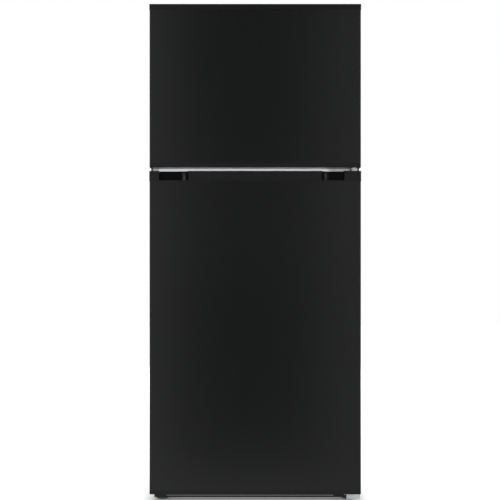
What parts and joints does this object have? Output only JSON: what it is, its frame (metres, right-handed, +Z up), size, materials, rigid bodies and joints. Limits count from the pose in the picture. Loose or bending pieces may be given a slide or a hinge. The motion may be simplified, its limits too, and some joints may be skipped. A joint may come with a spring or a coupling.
{
  "type": "top freezer refrigerator",
  "caption": "Free-standing refrigerator with a small freezer door above a tall fridge door, flat black doors with recessed pocket grips, and a fitted interior.",
  "frame": {"origin": "on the floor, at the middle of the footprint", "axes": "+Z up, the doors face -Y, the hinges are on the +X side"},
  "size_m": [0.702, 0.692, 1.669],
  "materials": {
    "black_paint": "satin",
    "black_plastic": "satin",
    "zinc_plate": "satin",
    "rail_paint": "satin",
    "white_liner": "gloss",
    "foam": "matte",
    "clear_plastic": "gloss",
    "shelf_glass": "gloss",
    "seal_rubber": "matte",
    "compressor_black": "gloss",
    "copper": "satin",
    "aluminium": "satin",
    "dark_plastic": "matte",
    "white_plastic": "satin"
  },
  "bodies": {
    "cabinet": {"outer_shell": "black_paint", "top_hinge_cover": "black_plastic", "kick_plate": "black_plastic", "rear_panel": "zinc_plate", "base_pan": "zinc_plate", "top_hinge": "zinc_plate", "middle_hinge": "zinc_plate", "bottom_hinge": "zinc_plate", "fasteners": "zinc_plate", "centre_rail": "rail_paint", "freezer_liner": "white_liner", "fridge_liner": "white_liner", "cabinet_foam": "foam", "lamp_lens": "clear_plastic", "crisper_cover": "shelf_glass", "compressor_grommets": "seal_rubber", "power_inlet": "seal_rubber", "compressor": "compressor_black", "condenser_coil": "compressor_black", "refrigerant_pipes": "copper", "evaporator": "aluminium", "defrost_heater": "aluminium", "bay_cover": "dark_plastic", "drip_tray": "dark_plastic", "condenser_spacers": "dark_plastic", "fan_motor": "dark_plastic", "evaporator_cover": "white_plastic", "air_duct": "white_plastic", "control_box": "white_plastic", "drain_tube": "white_plastic"},
    "freezer_door": {"freezer_door_skin": "black_paint", "freezer_door_foam": "foam", "freezer_door_liner": "white_liner", "freezer_door_top_cap": "black_plastic", "freezer_door_bottom_cap": "black_plastic", "freezer_door_gasket": "seal_rubber"},
    "fridge_door": {"fridge_door_skin": "black_paint", "fridge_door_foam": "foam", "fridge_door_liner": "white_liner", "fridge_door_top_cap": "black_plastic", "fridge_door_bottom_cap": "black_plastic", "fridge_door_gasket": "seal_rubber"},
    "freezer_upper_bin": {"freezer_bin_upper": "clear_plastic"},
    "freezer_lower_bin": {"freezer_bin_lower": "clear_plastic"},
    "fridge_upper_bin": {"fridge_bin_upper": "clear_plastic"},
    "fridge_middle_bin": {"fridge_bin_middle": "clear_plastic"},
    "fridge_lower_bin": {"fridge_bin_lower": "clear_plastic"},
    "freezer_glass_shelf": {"freezer_shelf": "shelf_glass"},
    "upper_glass_shelf": {"shelf_upper": "shelf_glass"},
    "lower_glass_shelf": {"shelf_lower": "shelf_glass"},
    "ice_drawer": {"ice_bin": "clear_plastic"},
    "left_crisper": {"crisper_left": "clear_plastic"},
    "right_crisper": {"crisper_right": "clear_plastic"},
    "dial": {"thermostat_dial": "white_plastic"},
    "plunger": {"switch_plunger": "white_plastic"},
    "fan": {"fan_blade": "white_plastic"},
    "left_leg": {"leg_left": "dark_plastic"},
    "right_leg": {"leg_right": "dark_plastic"},
    "left_roller": {"roller_left": "dark_plastic"},
    "right_roller": {"roller_right": "dark_plastic"}
  },
  "joints": [
    {"name": "freezer_door_hinge", "type": "hinge", "parent": "cabinet", "child": "freezer_door", "pos_m": [0.33, -0.32, 1.11], "axis": [0, 0, 1], "range_deg": [0, 125]},
    {"name": "fridge_door_hinge", "type": "hinge", "parent": "cabinet", "child": "fridge_door", "pos_m": [0.33, -0.32, 0.034], "axis": [0, 0, 1], "range_deg": [0, 125]},
    {"name": "freezer_upper_bin_lift", "type": "slide", "parent": "freezer_door", "child": "freezer_upper_bin", "axis": [0, 0, 1], "range_m": [0, 0.02]},
    {"name": "freezer_lower_bin_lift", "type": "slide", "parent": "freezer_door", "child": "freezer_lower_bin", "axis": [0, 0, 1], "range_m": [0, 0.02]},
    {"name": "fridge_upper_bin_lift", "type": "slide", "parent": "fridge_door", "child": "fridge_upper_bin", "axis": [0, 0, 1], "range_m": [0, 0.02]},
    {"name": "fridge_middle_bin_lift", "type": "slide", "parent": "fridge_door", "child": "fridge_middle_bin", "axis": [0, 0, 1], "range_m": [0, 0.02]},
    {"name": "fridge_lower_bin_lift", "type": "slide", "parent": "fridge_door", "child": "fridge_lower_bin", "axis": [0, 0, 1], "range_m": [0, 0.02]},
    {"name": "freezer_shelf_slide", "type": "slide", "parent": "cabinet", "child": "freezer_glass_shelf", "axis": [0, -1, 0], "range_m": [0, 0.035]},
    {"name": "upper_shelf_slide", "type": "slide", "parent": "cabinet", "child": "upper_glass_shelf", "axis": [0, -1, 0], "range_m": [0, 0.035]},
    {"name": "lower_shelf_slide", "type": "slide", "parent": "cabinet", "child": "lower_glass_shelf", "axis": [0, -1, 0], "range_m": [0, 0.035]},
    {"name": "ice_bin_slide", "type": "slide", "parent": "cabinet", "child": "ice_drawer", "axis": [0, -1, 0], "range_m": [0, 0.035]},
    {"name": "left_crisper_slide", "type": "slide", "parent": "cabinet", "child": "left_crisper", "axis": [0, -1, 0], "range_m": [0, 0.055]},
    {"name": "right_crisper_slide", "type": "slide", "parent": "cabinet", "child": "right_crisper", "axis": [0, -1, 0], "range_m": [0, 0.055]},
    {"name": "dial_turn", "type": "hinge", "parent": "cabinet", "child": "dial", "pos_m": [0.07, -0.234, 1.057], "axis": [0, -1, 0], "range_deg": [0, 270]},
    {"name": "plunger_travel", "type": "slide", "parent": "cabinet", "child": "plunger", "axis": [0, -1, 0], "range_m": [0, 0.004]},
    {"name": "fan_spin", "type": "hinge", "parent": "cabinet", "child": "fan", "pos_m": [0, 0.214, 1.474], "axis": [0, 1, 0], "continuous": true},
    {"name": "left_leg_turn", "type": "hinge", "parent": "cabinet", "child": "left_leg", "pos_m": [-0.315, -0.234, 0], "axis": [0, 0, 1], "continuous": true},
    {"name": "right_leg_turn", "type": "hinge", "parent": "cabinet", "child": "right_leg", "pos_m": [0.315, -0.234, 0], "axis": [0, 0, 1], "continuous": true},
    {"name": "left_roller_roll", "type": "hinge", "parent": "cabinet", "child": "left_roller", "pos_m": [-0.3, 0.286, 0.02], "axis": [1, 0, 0], "continuous": true},
    {"name": "right_roller_roll", "type": "hinge", "parent": "cabinet", "child": "right_roller", "pos_m": [0.3, 0.286, 0.02], "axis": [1, 0, 0], "continuous": true}
  ],
  "couplings": [
    {"joint": "plunger_travel", "follows": "fridge_door_hinge", "m_per_rad": 0.0018}
  ]
}
